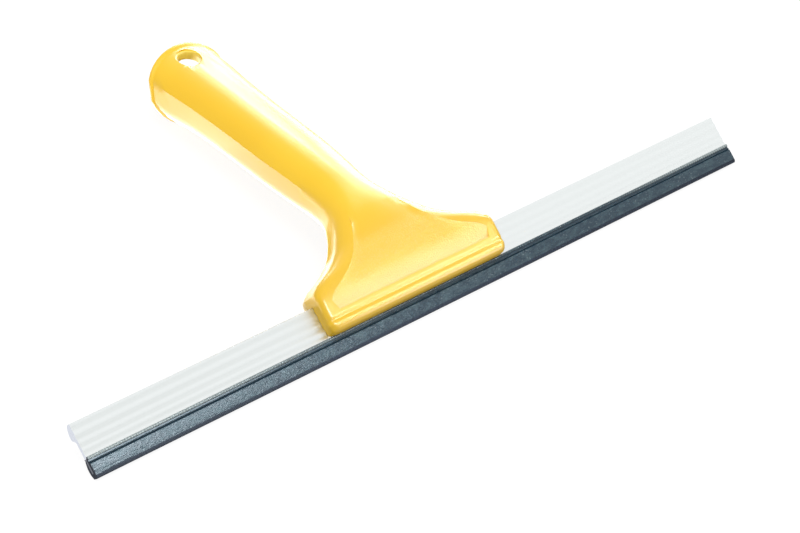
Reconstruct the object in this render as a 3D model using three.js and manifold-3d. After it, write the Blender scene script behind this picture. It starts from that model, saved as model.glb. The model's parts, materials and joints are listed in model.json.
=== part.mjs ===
// A window squeegee: moulded handle, aluminium blade profile and rubber strip.
// It lies on a table with its front face up, resting on the rubber's edge and the grip's end.
// X runs along the blade, Y from the rubber's edge towards the grip's end, Z up.
// Shapes are first built in the blade's own frame: x along the blade, y up the blade from the
// line where rubber and aluminium meet, z out of the blade's front face. A last turn lays it down.

import * as THREE from "three";
import { mergeVertices } from "three/addons/utils/BufferGeometryUtils.js";
import Module from "manifold-3d";

const wasm = await Module();
wasm.setup();

// Driving sizes, in millimetres

// Blade profile
const BLADE_LENGTH = 350;
const PROFILE_HEIGHT = 14.1;
const WEB_THICKNESS = 1.6;
const TONGUE_LENGTH = 6.2;
const TONGUE_THICKNESS = 1;
const TONGUE_SET_BACK = 0.5;
const BEAD_DEPTH = 4.3;
const BEAD_HEIGHT = 6.9;
const FLUTE_DEPTH = 0.35;

// Rubber strip
const RUBBER_HEIGHT = 8.4;
const RUBBER_OVERLAP = 0.5;
const RUBBER_THICKNESS = 3.9;
const RUBBER_PROUD = 0.9;
const RUBBER_BEAD = 1.3;
const RUBBER_GROOVE_DEPTH = 0.55;
const RUBBER_BEVEL = 1.1;
const SLOT_CLEARANCE = 0.1;

// Handle head
const HANDLE_OFFSET = -10;
const HEAD_WIDTH = 95.2;
const HEAD_FRONT = 6.5;
const HEAD_BACK = 9;
const HEAD_LIFT = 0.3;
const HEAD_CLEARANCE = 0.15;
const FRONT_CORNER = 3;
const BACK_CORNER = 2.4;
const FLARE_RUN = 62;
const LIP_GROOVE_PLACE = 5.6;
const LIP_GROOVE_WIDTH = 2.6;
const LIP_GROOVE_DEPTH = 0.5;
const PANEL_PLACE = 8.4;
const PANEL_DEPTH = 0.6;
const PANEL_BORDER = 4.6;
const PANEL_CORNER = 2.5;
const PANEL_RUN = 40;
const PANEL_FADE = 22;

// Grip
const GRIP_WIDTH = 33.6;
const GRIP_CROWN = 11.8;
const GRIP_BACK = 11.5;
const GRIP_FLANK = 1.5;
const GRIP_LEAN = THREE.MathUtils.degToRad(38);
const GRIP_RUN = 125.5;
const BEND_PLACE = 30.7;
const BEND_RADIUS = 52;
const END_SLANT = THREE.MathUtils.degToRad(35);
const END_SLANT_RUN = 46;
const SPINE_DEPTH = 1;
const RIM_WIDTH = 41.4;
const RIM_HEIGHT = 28;
const RIM_DROP = 0.7;
const RIM_THICKNESS = 1.7;
const RIM_EDGE = 0.45;
const RIM_STEP = 0.8;
const RIM_FLARE_RUN = 16;
const SIDE_WALL = 3;
const CROWN_WALL = 3.9;
const HOLLOW_START = 24;
const HANG_HOLE_DIAMETER = 10.2;
const HANG_HOLE_SET_BACK = 0.4;
const HANG_HOLE_EDGE = 1;

// Rear clamp and its screws
const CLAMP_DEPTH = 5;
const CLAMP_RUN = 41;
const CLAMP_GAP = 0.2;
const SCREW_SET_IN = 16.6;
const SCREW_PLACE = 18.4;
const NECK_SCREW_PLACE = 33;
const SCREW_DIAMETER = 3;
const SCREW_LENGTH = 9;
const SCREW_HEAD_DIAMETER = 6;
const SCREW_HEAD_HEIGHT = 1.9;
const SCREW_CLEARANCE = 0.2;
const COUNTERBORE_DEPTH = 2.4;
const RECESS_WIDTH = 0.9;
const RECESS_LENGTH = 3.2;
const RECESS_DEPTH = 1.1;
const BOSS_WALL = 2.2;

// How far a cutting body runs past what it cuts
const OVERRUN = 5;
// The largest step along the handle between two sections, and its shares where the form is busy
const SECTION_STEP = 4.5;
const stepShares = { lip: 0.15, flare: 0.3 };

// Counts of steps round curves
const CORNER_STEPS = 6;
const FLAT_STEPS = 3;
const CROWN_POINTS = CORNER_STEPS + FLAT_STEPS + 1;
const PANEL_STEPS = 8;
const PARTING_STEPS = 8;
const HOLE_SIDES = 24;
const SCREW_SIDES = 20;
const TILT_ROUNDS = 50;
// How far round an eased edge its middle point lies
const easeShare = 0.3;

// Colours and finishes
const HANDLE_PLASTIC = { color: 0xf8c630, roughness: 0.28, metalness: 0 };
const ALUMINIUM = { color: 0xdfe1e3, roughness: 0.32, metalness: 1 };
const RUBBER = { color: 0x2c343c, roughness: 0.5, metalness: 0 };
const STEEL = { color: 0xb8b9bb, roughness: 0.3, metalness: 1 };

// Solids

// Turns a closed geometry into a solid that can be joined and cut.
function solidOf(geometry) {
  const bare = geometry.clone();
  bare.deleteAttribute("normal");
  bare.deleteAttribute("uv");
  const merged = mergeVertices(bare);
  const mesh = new wasm.Mesh({
    numProp: 3,
    vertProperties: merged.attributes.position.array,
    triVerts: merged.index.array,
  });
  mesh.merge();
  return new wasm.Manifold(mesh);
}

// Turns a solid back into a geometry.
function geometryOf(solid) {
  const mesh = solid.getMesh();
  const geometry = new THREE.BufferGeometry();
  geometry.setAttribute("position", new THREE.BufferAttribute(mesh.vertProperties, mesh.numProp));
  geometry.setIndex(new THREE.BufferAttribute(mesh.triVerts, 1));
  return geometry;
}

// Runs an outline, given as (y, z) points of the blade's frame, along x about a middle place.
function extrudeAlongX(outline, length, middle) {
  const shape = new THREE.Shape(outline.map(([y, z]) => new THREE.Vector2(y, z)));
  const geometry = new THREE.ExtrudeGeometry(shape, { depth: length, bevelEnabled: false });
  const toBlade = new THREE.Matrix4().makeBasis(
    new THREE.Vector3(0, 1, 0),
    new THREE.Vector3(0, 0, 1),
    new THREE.Vector3(1, 0, 0),
  );
  geometry.applyMatrix4(toBlade);
  geometry.translate(middle - length / 2, 0, 0);
  return geometry;
}

// Skins a row of rings, each with the same number of points, and closes both ends.
function skin(rings) {
  const around = rings[0].length;
  const points = rings.flat().concat([centreOf(rings[0]), centreOf(rings.at(-1))]);
  const firstCentre = rings.length * around;
  const lastCentre = firstCentre + 1;
  const faces = [];
  for (let i = 0; i < around; i += 1) {
    const next = (i + 1) % around;
    faces.push(firstCentre, next, i);
    const last = (rings.length - 1) * around;
    faces.push(lastCentre, last + i, last + next);
    for (let row = 0; row < last; row += around) {
      faces.push(row + i, row + next, row + around + next);
      faces.push(row + i, row + around + next, row + around + i);
    }
  }
  const geometry = new THREE.BufferGeometry().setFromPoints(points);
  geometry.setIndex(faces);
  return geometry;
}

function centreOf(ring) {
  const sum = new THREE.Vector3();
  ring.forEach((point) => sum.add(point));
  return sum.divideScalar(ring.length);
}

// Reads a smooth curve through [place, value] rows that never overshoots its rows.
function follow(rows, place) {
  const last = rows.length - 1;
  if (place <= rows[0][0]) return rows[0][1];
  if (place >= rows[last][0]) return rows[last][1];
  const i = rows.findIndex((row, index) => index < last && place < rows[index + 1][0]);
  const slope = (k) => (rows[k + 1][1] - rows[k][1]) / (rows[k + 1][0] - rows[k][0]);
  const tangent = (k) => {
    if (k === 0 || k === last) return 0;
    const before = slope(k - 1);
    const after = slope(k);
    return before * after <= 0 ? 0 : (2 * before * after) / (before + after);
  };
  const run = rows[i + 1][0] - rows[i][0];
  const t = (place - rows[i][0]) / run;
  const rise = rows[i + 1][1] - rows[i][1];
  const start = run * tangent(i);
  const end = run * tangent(i + 1);
  return rows[i][1] + t * (start + t * (3 * rise - 2 * start - end + t * (start + end - 2 * rise)));
}

// Blade profile: a thin web with a fluted front, a bead along the back of its top edge
// and a tongue that the rubber grips

function profileOutline() {
  const ridgeShares = [0.05, 0.26, 0.47, 0.73, 0.98];
  const stepsPerFlute = 6;
  const front = [
    [-TONGUE_LENGTH, -TONGUE_SET_BACK],
    [0, -TONGUE_SET_BACK],
    [0, 0],
    [PROFILE_HEIGHT * ridgeShares[0], 0],
  ];
  for (let flute = 0; flute + 1 < ridgeShares.length; flute += 1) {
    for (let step = 1; step <= stepsPerFlute; step += 1) {
      const t = step / stepsPerFlute;
      const share = THREE.MathUtils.lerp(ridgeShares[flute], ridgeShares[flute + 1], t);
      const dip = (1 - Math.cos(2 * Math.PI * t)) / 2;
      front.push([PROFILE_HEIGHT * share, -FLUTE_DEPTH * dip]);
    }
  }
  // The bead's back, from the top edge round to the web, as shares of its height and depth
  const beadShares = [
    [1, 0.1], [0.99, 0.45], [0.88, 0.66], [0.71, 0.83], [0.5, 0.96], [0.3, 1],
    [0.17, 0.96], [0.1, 0.84], [0.05, 0.64], [0, 0.5],
  ];
  const beadFoot = PROFILE_HEIGHT - BEAD_HEIGHT;
  const bead = beadShares.map(([up, back]) => [beadFoot + BEAD_HEIGHT * up, -BEAD_DEPTH * back]);
  const webFillet = [beadFoot - WEB_THICKNESS / 2, -WEB_THICKNESS];
  const tongueBack = -TONGUE_SET_BACK - TONGUE_THICKNESS;
  const tongue = [[0, -WEB_THICKNESS], [0, tongueBack], [-TONGUE_LENGTH, tongueBack]];
  return [...front, ...bead, webFillet, ...tongue];
}

function profile() {
  return extrudeAlongX(profileOutline(), BLADE_LENGTH, 0);
}

// Rubber strip: a thick edge strip with a slot for the tongue, two small beads along its
// top and a bevelled lip

function rubberOutline() {
  const face = RUBBER_PROUD;
  const back = face - RUBBER_THICKNESS;
  const slotFront = SLOT_CLEARANCE - TONGUE_SET_BACK;
  const slotBack = -TONGUE_SET_BACK - TONGUE_THICKNESS - SLOT_CLEARANCE;
  const slotFoot = -TONGUE_LENGTH - SLOT_CLEARANCE;
  const grooveBed = face - RUBBER_GROOVE_DEPTH;
  // Down the front: wide bead, groove, narrow bead, groove
  const wideBeadEnd = RUBBER_OVERLAP - RUBBER_BEAD;
  const firstGrooveEnd = wideBeadEnd - RUBBER_GROOVE_DEPTH;
  const narrowBeadEnd = firstGrooveEnd - RUBBER_GROOVE_DEPTH;
  const secondGrooveEnd = narrowBeadEnd - RUBBER_GROOVE_DEPTH;
  const lip = -RUBBER_HEIGHT;
  // The bevel from the face to the lip, as shares of its height and depth
  const bevelShares = [[0, 0], [0.7, 0.3], [1, 0.8]];
  const bevel = bevelShares.map(([down, in_]) => [
    lip + RUBBER_BEVEL * (1 - down),
    face - RUBBER_BEVEL * in_,
  ]);
  const beadCurve = halfRound(RUBBER_OVERLAP, wideBeadEnd, grooveBed, face, 6);
  const narrowCurve = halfRound(firstGrooveEnd, narrowBeadEnd, grooveBed, face, 4);
  // The back swells behind the tongue and draws in to the lip, as shares of height and thickness
  const swellShares = [
    [0.97, 0.74], [0.86, 0.87], [0.72, 0.97], [0.56, 1], [0.4, 0.98], [0.22, 0.86], [0.06, 0.7],
  ];
  const backCurve = swellShares.map(([down, in_]) => [lip * down, face + (back - face) * in_]);
  return [
    [RUBBER_OVERLAP, SLOT_CLEARANCE],
    ...beadCurve,
    ...narrowCurve,
    [secondGrooveEnd, face],
    ...bevel,
    ...backCurve,
    [-SLOT_CLEARANCE, slotBack - RUBBER_GROOVE_DEPTH],
    [-SLOT_CLEARANCE, slotBack],
    [slotFoot, slotBack],
    [slotFoot, slotFront],
    [-SLOT_CLEARANCE, slotFront],
    [-SLOT_CLEARANCE, SLOT_CLEARANCE],
  ];
}

// Points of a half-round bead standing out of a bed, from one place down to another.
function halfRound(from, to, bed, crest, steps) {
  const points = [];
  for (let step = 0; step <= steps; step += 1) {
    const angle = (Math.PI * step) / steps;
    const middle = (from + to) / 2;
    points.push([middle + ((from - to) / 2) * Math.cos(angle), bed + (crest - bed) * Math.sin(angle)]);
  }
  return points;
}

function rubber() {
  return extrudeAlongX(rubberOutline(), BLADE_LENGTH, 0);
}

// Handle: sections along a spine that runs up the blade, bends back and leans away

const BEND_TANGENT = BEND_RADIUS * Math.tan(GRIP_LEAN / 2);
const BEND_LENGTH = BEND_RADIUS * GRIP_LEAN;
const HEAD_RUN = BEND_PLACE - BEND_TANGENT;
const SPINE_LENGTH = HEAD_RUN + BEND_LENGTH + GRIP_RUN - BEND_TANGENT;

// The spine's point, direction and outward direction at a distance from the head's lower edge.
function spineAt(distance) {
  const bend = THREE.MathUtils.clamp((distance - HEAD_RUN) / BEND_RADIUS, 0, GRIP_LEAN);
  const along = new THREE.Vector3(0, Math.cos(bend), -Math.sin(bend));
  const out = new THREE.Vector3(0, Math.sin(bend), Math.cos(bend));
  const point = new THREE.Vector3(HANDLE_OFFSET, HEAD_LIFT + Math.min(distance, HEAD_RUN), -SPINE_DEPTH);
  point.y += BEND_RADIUS * Math.sin(bend);
  point.z -= BEND_RADIUS * (1 - Math.cos(bend));
  point.addScaledVector(along, Math.max(0, distance - HEAD_RUN - BEND_LENGTH));
  return { point, along, out };
}

// Where a place lies on the handle: 0 at the head's lower edge, 1 at the neck and 2 at the end.
function stationAt(place) {
  if (place < FLARE_RUN) return place / FLARE_RUN;
  return 1 + (place - FLARE_RUN) / (SPINE_LENGTH - FLARE_RUN);
}

// The tables below go by station. First the way from the grip's width out to the head's.
const flareShares = [
  [0, 0.91], [0.01, 0.955], [0.025, 0.978], [0.045, 0.99], [0.07, 1], [0.24, 1], [0.275, 0.98],
  [0.302, 0.93], [0.325, 0.867], [0.378, 0.64], [0.465, 0.392], [0.575, 0.211], [0.69, 0.085],
  [0.8, 0.015], [0.925, 0],
];
// Half widths of the grip at its crease, as shares of half its width
const gripWidthShares = [
  [0.925, 0.81], [1.05, 0.855], [1.27, 0.92], [1.52, 0.937], [1.75, 0.988], [1.88, 1.05], [2, 1.07],
];
// How far the back stands out past the crease, as shares of the grip's flank
const flankShares = [
  [0, 0.9], [0.025, 0.25], [0.07, 0], [0.215, 0], [0.3, 1], [0.55, 1.25], [0.8, 1], [1.05, 0.6], [2, 0.6],
];
// The front's height: the rounding of the lower edge, and the way from the head's to the grip's
const lowerEdgeShares = [[0, 0.47], [0.0075, 0.69], [0.02, 0.85], [0.04, 0.95], [0.065, 1]];
const crownShares = [[0.065, 0], [0.4, 0.07], [0.7, 0.4], [1, 0.81], [1.25, 1]];
// The crease's height, as shares of the front's height
const creaseHeightShares = [
  [0, 0.47], [0.015, 0.6], [0.225, 0.6], [0.3, 0.46], [0.375, 0.24], [0.475, 0.06], [0.6, 0.085],
  [0.75, 0.26], [1, 0.4], [1.2, 0.43],
];
// How far the front turns down at the crease, from level to upright
const creaseTurnShares = [[0.5, 1], [0.85, 0.65], [1.1, 0.56], [2, 0.56]];
// The back's depth: the lower edge, the way from the head's to the grip's, and the swell at the end
const backEdgeShares = [[0, 0.72], [0.02, 0.9], [0.055, 1]];
const backShares = [[0.3, 0], [0.625, 0.35], [1, 0.87], [1.17, 1]];
const endSwellShares = [[1.6, 1], [2, 1.1]];
// How far the corners are rounded, from the head's own corners to the whole half width
const frontRoundShares = [
  [0.225, 0], [0.3, 0.15], [0.4, 0.31], [0.55, 0.56], [0.75, 0.78], [1, 0.89], [2, 0.9],
];
const backRoundShares = [[0.225, 0], [0.325, 0.11], [0.5, 0.36], [0.75, 0.7], [1.03, 0.87], [2, 0.9]];
// How much of the front's height its middle rises over its flat part, and where the sides end
const crownRiseShare = 0.12;
const sideFootShare = 0.12;

// The handle's depth behind the spine at a place.
function backDepthAt(place) {
  const station = stationAt(place);
  const head = (HEAD_BACK - SPINE_DEPTH) * follow(backEdgeShares, station);
  const grip = GRIP_BACK * follow(endSwellShares, station);
  return THREE.MathUtils.lerp(head, grip, follow(backShares, station));
}

// One section of the handle as (x, height) points, drawn in by an inset per side.
function sectionOutline(place, inset) {
  const { lerp } = THREE.MathUtils;
  const station = stationAt(place);
  const gripHalf = (GRIP_WIDTH / 2) * follow(gripWidthShares, station);
  const half = lerp(gripHalf, HEAD_WIDTH / 2, follow(flareShares, station));
  const crease = half - inset.side;
  const back = crease + GRIP_FLANK * follow(flankShares, station);
  const headFront = (HEAD_FRONT + SPINE_DEPTH) * follow(lowerEdgeShares, station);
  const front = lerp(headFront, GRIP_CROWN, follow(crownShares, station));
  const crown = front - inset.crown - lipGroove(place);
  return sectionPoints({
    crease,
    back,
    crown,
    creaseHeight: crown * follow(creaseHeightShares, station),
    depth: backDepthAt(place) - inset.back,
    frontCorner: lerp(FRONT_CORNER, crease, follow(frontRoundShares, station)),
    creaseTurn: (Math.PI / 2) * follow(creaseTurnShares, station),
    backCorner: lerp(BACK_CORNER, back, follow(backRoundShares, station)),
  });
}

// The shallow groove across the head above its lower lip.
function lipGroove(place) {
  const off = Math.abs(place - LIP_GROOVE_PLACE) / (LIP_GROOVE_WIDTH / 2);
  return off < 1 ? (LIP_GROOVE_DEPTH * (1 + Math.cos(Math.PI * off))) / 2 : 0;
}

// Goes round from the middle of the crown over the left side and back along the right side.
function sectionPoints(s) {
  const flat = 1 - s.frontCorner / s.crease;
  const crownRise = (s.crown - s.creaseHeight) * crownRiseShare * flat;
  const shoulder = s.crown - crownRise;
  const sideFoot = -s.depth * sideFootShare;
  const right = [];
  for (let step = 0; step < FLAT_STEPS; step += 1) {
    const t = step / FLAT_STEPS;
    right.push([(s.crease - s.frontCorner) * t, s.crown - crownRise * t * t]);
  }
  for (let step = 0; step <= CORNER_STEPS; step += 1) {
    const angle = s.creaseTurn * (step / CORNER_STEPS);
    const x = s.crease - s.frontCorner * (1 - Math.sin(angle) / Math.sin(s.creaseTurn));
    const fall = (1 - Math.cos(angle)) / (1 - Math.cos(s.creaseTurn));
    right.push([x, THREE.MathUtils.lerp(shoulder, s.creaseHeight, fall)]);
  }
  for (let step = 0; step <= CORNER_STEPS; step += 1) {
    const angle = (Math.PI / 2) * (step / CORNER_STEPS);
    const x = s.back - s.backCorner * (1 - Math.cos(angle));
    right.push([x, sideFoot - (s.depth + sideFoot) * Math.sin(angle)]);
  }
  right.push([(s.back - s.backCorner) / 2, -s.depth]);
  const left = right.slice(1).reverse().map(([x, height]) => [-x, height]);
  return [...right, [0, -s.depth], ...left];
}

// How far a section's plane slants, rising from square to the end's full slant.
function slantAt(place) {
  const t = THREE.MathUtils.clamp((place - (SPINE_LENGTH - END_SLANT_RUN)) / END_SLANT_RUN, 0, 1);
  return Math.tan(END_SLANT) * t * t * (3 - 2 * t);
}

// Sets a section's points in space at a place along the spine, past it by a shift.
function placeSection(outline, place, shift) {
  const slant = slantAt(place);
  return outline.map(([x, height]) => {
    const { point, along, out } = spineAt(place);
    point.x += x;
    return point.addScaledVector(out, height).addScaledVector(along, slant * height + shift);
  });
}

// The places of the sections, close together where the width or the crown changes fast.
function sectionPlaces(from, to) {
  const places = [];
  let place = from;
  while (place < to) {
    places.push(place);
    const nearLip = place < PANEL_PLACE;
    const nearFlare = place > HEAD_RUN && place < HEAD_RUN + BEND_LENGTH / 2;
    place += SECTION_STEP * (nearLip ? stepShares.lip : nearFlare ? stepShares.flare : 1);
  }
  places.push(to);
  return places;
}

// An outline grown outwards by a distance.
function grown(outline, by) {
  const area = THREE.ShapeUtils.area(outline.map(([x, y]) => new THREE.Vector2(x, y)));
  const outward = Math.sign(area) * by;
  return outline.map(([x, y], i) => {
    const before = outline.at(i - 1);
    const after = outline[(i + 1) % outline.length];
    const run = new THREE.Vector2(after[0] - before[0], after[1] - before[1]).normalize();
    return [x + run.y * outward, y - run.x * outward];
  });
}

const NO_INSET = { side: 0, crown: 0, back: 0 };

// The handle's outer form, from the head's lower edge to the slanted end and its rim.
function handleOuter() {
  const rimStart = SPINE_LENGTH - RIM_THICKNESS - RIM_EDGE;
  const rimFoot = rimOutline(RIM_STEP);
  const rings = sectionPlaces(0, rimStart).map((place) => {
    const flare = THREE.MathUtils.smoothstep(place, rimStart - RIM_FLARE_RUN, rimStart) ** 2;
    const outline = sectionOutline(place, NO_INSET).map(([x, height], i) => [
      THREE.MathUtils.lerp(x, rimFoot[i][0], flare),
      THREE.MathUtils.lerp(height, rimFoot[i][1], flare),
    ]);
    return placeSection(outline, place, 0);
  });
  const rim = [
    [RIM_EDGE, -RIM_THICKNESS],
    [0, RIM_EDGE - RIM_THICKNESS],
    [0, -RIM_EDGE],
    [RIM_EDGE, 0],
  ];
  rim.forEach(([by, shift]) => rings.push(placeSection(rimOutline(by), SPINE_LENGTH, shift)));
  return solidOf(skin(rings));
}

// The rim's oval, drawn in by a distance, with a point for each point of the end's section.
function rimOutline(by) {
  const across = RIM_WIDTH / 2 - by;
  const up = RIM_HEIGHT / 2 - by;
  return sectionOutline(SPINE_LENGTH, NO_INSET).map(([x, height]) => {
    const angle = Math.atan2((height + RIM_DROP) / up, x / across);
    return [across * Math.cos(angle), up * Math.sin(angle) - RIM_DROP];
  });
}

// The hollow of the grip, open at the end.
function handleHollow() {
  const inset = { side: SIDE_WALL, crown: CROWN_WALL, back: SIDE_WALL };
  const places = sectionPlaces(HOLLOW_START, SPINE_LENGTH);
  const rings = places.map((place) => placeSection(sectionOutline(place, inset), place, 0));
  rings.push(placeSection(sectionOutline(SPINE_LENGTH, inset), SPINE_LENGTH, OVERRUN));
  return solidOf(skin(rings));
}

// The sunken panel on the head: it follows the front face and fades out towards the grip.
function panelPocket() {
  const panelEnd = PANEL_PLACE + PANEL_RUN;
  const places = sectionPlaces(PANEL_PLACE, panelEnd);
  const rings = places.map((place) => {
    const crown = sectionOutline(place, NO_INSET).slice(0, CROWN_POINTS);
    const cornerRun = Math.min(place - PANEL_PLACE, PANEL_CORNER);
    const cornerCut = PANEL_CORNER - Math.sqrt(PANEL_CORNER ** 2 - (PANEL_CORNER - cornerRun) ** 2);
    const ahead = sectionOutline(place + PANEL_BORDER, NO_INSET)[CROWN_POINTS - 1];
    const half = ahead[0] - PANEL_BORDER - cornerCut;
    const fade = THREE.MathUtils.smoothstep(place, panelEnd - PANEL_FADE, panelEnd);
    const depth = THREE.MathUtils.lerp(PANEL_DEPTH, -PANEL_DEPTH, fade);
    const bed = [];
    for (let step = -PANEL_STEPS; step <= PANEL_STEPS; step += 1) {
      const x = (half * step) / PANEL_STEPS;
      bed.push([x, heightOn(crown, Math.abs(x)) - depth]);
    }
    const outline = [...bed, [half, crown[0][1] + OVERRUN], [-half, crown[0][1] + OVERRUN]];
    return placeSection(outline.reverse(), place, 0);
  });
  return solidOf(skin(rings));
}

// The height of the crown at a distance from its middle.
function heightOn(crown, x) {
  const i = Math.max(1, crown.findIndex((point) => point[0] >= x));
  const t = (x - crown[i - 1][0]) / (crown[i][0] - crown[i - 1][0]);
  return THREE.MathUtils.lerp(crown[i - 1][1], crown[i][1], t);
}

// A turned body from (radius, height) points, set along the outward direction at a place.
function turnedAt(points, sideways, place, sides) {
  const geometry = new THREE.LatheGeometry(points.map(([r, h]) => new THREE.Vector2(r, h)), sides);
  return geometry.applyMatrix4(frameAt(sideways, place));
}

// The place beside the spine whose second axis points outward.
function frameAt(sideways, place) {
  const { point, along, out } = spineAt(place);
  const across = new THREE.Vector3().crossVectors(out, along);
  const back = new THREE.Vector3().crossVectors(across, out);
  const matrix = new THREE.Matrix4().makeBasis(across, out, back);
  return matrix.setPosition(point.x + sideways, point.y, point.z);
}

function cylinderPoints(radius, from, to) {
  return [[0, from], [radius, from], [radius, to], [0, to]];
}

// The hang hole through the crown near the end, with an eased edge.
function hangHole() {
  const place = SPINE_LENGTH - HANG_HOLE_SET_BACK;
  const radius = HANG_HOLE_DIAMETER / 2;
  const crown = sectionOutline(place, NO_INSET)[0][1];
  const points = [
    [0, 0],
    [radius, 0],
    [radius, crown - HANG_HOLE_EDGE],
    [radius + HANG_HOLE_EDGE * easeShare, crown - HANG_HOLE_EDGE * easeShare],
    [radius + HANG_HOLE_EDGE, crown],
    [radius + HANG_HOLE_EDGE, crown + OVERRUN],
    [0, crown + OVERRUN],
  ];
  return solidOf(turnedAt(points, 0, place, HOLE_SIDES));
}

// The room that the blade profile takes in the head.
function profileRoom() {
  const outline = grown(profileOutline(), HEAD_CLEARANCE);
  return solidOf(extrudeAlongX(outline, BLADE_LENGTH + OVERRUN, HANDLE_OFFSET));
}

// The room that the rubber's top takes behind the head's lower lip.
function rubberRoom() {
  const top = RUBBER_OVERLAP + HEAD_CLEARANCE;
  const front = RUBBER_PROUD + HEAD_CLEARANCE;
  const back = -WEB_THICKNESS / 2;
  const outline = [[-OVERRUN, back], [top, back], [top, front], [-OVERRUN, front]];
  return solidOf(extrudeAlongX(outline, BLADE_LENGTH + OVERRUN, HANDLE_OFFSET));
}

// The space of the rear clamp: behind the web and the bead, then behind a parting face that
// follows the spine to the neck. The body's side of the parting is raised by a gap.
function clampSpace(gap) {
  const parting = (place) => {
    const { point, out } = spineAt(place);
    const height = SPINE_DEPTH - CLAMP_DEPTH + gap;
    return [point.y + out.y * height, point.z + out.z * height];
  };
  const partingStart = PROFILE_HEIGHT + WEB_THICKNESS;
  const end = CLAMP_RUN + gap;
  const outline = [
    [-OVERRUN, -WEB_THICKNESS / 2],
    [PROFILE_HEIGHT - BEAD_HEIGHT, -WEB_THICKNESS / 2],
    [PROFILE_HEIGHT - WEB_THICKNESS, -BEAD_DEPTH / 2],
    [PROFILE_HEIGHT + HEAD_CLEARANCE, -BEAD_DEPTH / 2 + gap - WEB_THICKNESS / 2],
    [partingStart, gap - CLAMP_DEPTH],
  ];
  const first = partingStart - HEAD_LIFT + WEB_THICKNESS;
  for (let step = 0; step <= PARTING_STEPS; step += 1) {
    outline.push(parting(THREE.MathUtils.lerp(first, end, step / PARTING_STEPS)));
  }
  const { point, out } = spineAt(end);
  const below = GRIP_BACK + OVERRUN;
  outline.push([point.y - out.y * below, point.z - out.z * below]);
  outline.push([-OVERRUN, point.z - below]);
  return solidOf(extrudeAlongX(outline, HEAD_WIDTH + OVERRUN, HANDLE_OFFSET));
}

// Screws: two in the wings beside the blade, one at the neck
const screwPlaces = [
  { name: "screw_left", sideways: SCREW_SET_IN - HEAD_WIDTH / 2, place: SCREW_PLACE },
  { name: "screw_right", sideways: HEAD_WIDTH / 2 - SCREW_SET_IN, place: SCREW_PLACE },
  { name: "screw_neck", sideways: 0, place: NECK_SCREW_PLACE },
];

// The height of the face that a screw's head seats on.
function seatHeight(place) {
  return COUNTERBORE_DEPTH - backDepthAt(place);
}

// The column that carries a screw across the hollow, and its bore with the head's recess.
function screwColumn({ sideways, place }) {
  const crown = sectionOutline(place, NO_INSET)[0][1];
  const foot = seatHeight(place) - COUNTERBORE_DEPTH / 2;
  const points = cylinderPoints(SCREW_DIAMETER / 2 + BOSS_WALL, foot, crown - CROWN_WALL / 2);
  return solidOf(turnedAt(points, sideways, place, HOLE_SIDES));
}

function screwBore({ sideways, place }) {
  const seat = seatHeight(place);
  const headRadius = SCREW_HEAD_DIAMETER / 2 + SCREW_CLEARANCE;
  const boreRadius = SCREW_DIAMETER / 2 + SCREW_CLEARANCE / 2;
  const points = [
    [0, seat - COUNTERBORE_DEPTH - OVERRUN],
    [headRadius, seat - COUNTERBORE_DEPTH - OVERRUN],
    [headRadius, seat],
    [boreRadius, seat],
    [boreRadius, seat + SCREW_LENGTH + SCREW_CLEARANCE],
    [0, seat + SCREW_LENGTH + SCREW_CLEARANCE],
  ];
  return solidOf(turnedAt(points, sideways, place, HOLE_SIDES));
}

// A pan head screw with a cross recess, its head resting on the seat.
function screw({ sideways, place }) {
  const under = seatHeight(place) - SCREW_CLEARANCE / 2;
  const head = SCREW_HEAD_DIAMETER / 2;
  const shank = SCREW_DIAMETER / 2;
  // The head's domed top, as shares of its radius and height
  const domeShares = [[0, 1], [0.55, 1], [0.85, 0.8], [1, 0.45], [1, 0]];
  const points = [
    ...domeShares.map(([out, up]) => [head * out, under - SCREW_HEAD_HEIGHT * up]),
    [shank, under],
    [shank, under + SCREW_LENGTH - shank],
    [0, under + SCREW_LENGTH],
  ];
  const bed = under - SCREW_HEAD_HEIGHT + RECESS_DEPTH;
  const slots = [[RECESS_LENGTH, RECESS_WIDTH], [RECESS_WIDTH, RECESS_LENGTH]];
  return slots.reduce((solid, [width, length]) => {
    const slot = new THREE.BoxGeometry(width, OVERRUN, length);
    slot.translate(0, bed - OVERRUN / 2, 0);
    return solid.subtract(solidOf(slot.applyMatrix4(frameAt(sideways, place))));
  }, solidOf(turnedAt(points, sideways, place, SCREW_SIDES)));
}

// The pieces

function handlePieces() {
  const columns = screwPlaces.map(screwColumn);
  const hollow = columns.reduce((solid, column) => solid.subtract(column), handleHollow());
  const rooms = [hollow, profileRoom(), rubberRoom()];
  const cuts = [...rooms, panelPocket(), hangHole(), ...screwPlaces.map(screwBore)];
  const shell = cuts.reduce((solid, cut) => solid.subtract(cut), handleOuter());
  return {
    body: shell.subtract(clampSpace(CLAMP_GAP)),
    clamp: shell.intersect(clampSpace(0)),
  };
}

function pieceMesh(name, geometry, look) {
  const mesh = new THREE.Mesh(geometry, new THREE.MeshStandardMaterial(look));
  mesh.name = name;
  return mesh;
}

// The lean at which the rubber's edge and the grip's end touch the table together.
function restTilt(group) {
  const points = [];
  group.traverse((mesh) => {
    if (!mesh.isMesh) return;
    const position = mesh.geometry.attributes.position;
    for (let i = 0; i < position.count; i += 1) points.push([position.getY(i), position.getZ(i)]);
  });
  const lowest = (side, tilt) =>
    Math.min(...side.map(([y, z]) => y * Math.sin(tilt) + z * Math.cos(tilt)));
  const front = points.filter(([y]) => y < 0);
  const back = points.filter(([y]) => y > BEND_PLACE + BEND_RADIUS);
  let low = 0;
  let high = GRIP_LEAN * 2;
  for (let round = 0; round < TILT_ROUNDS; round += 1) {
    const middle = (low + high) / 2;
    if (lowest(front, middle) > lowest(back, middle)) low = middle;
    else high = middle;
  }
  return (low + high) / 2;
}

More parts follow.
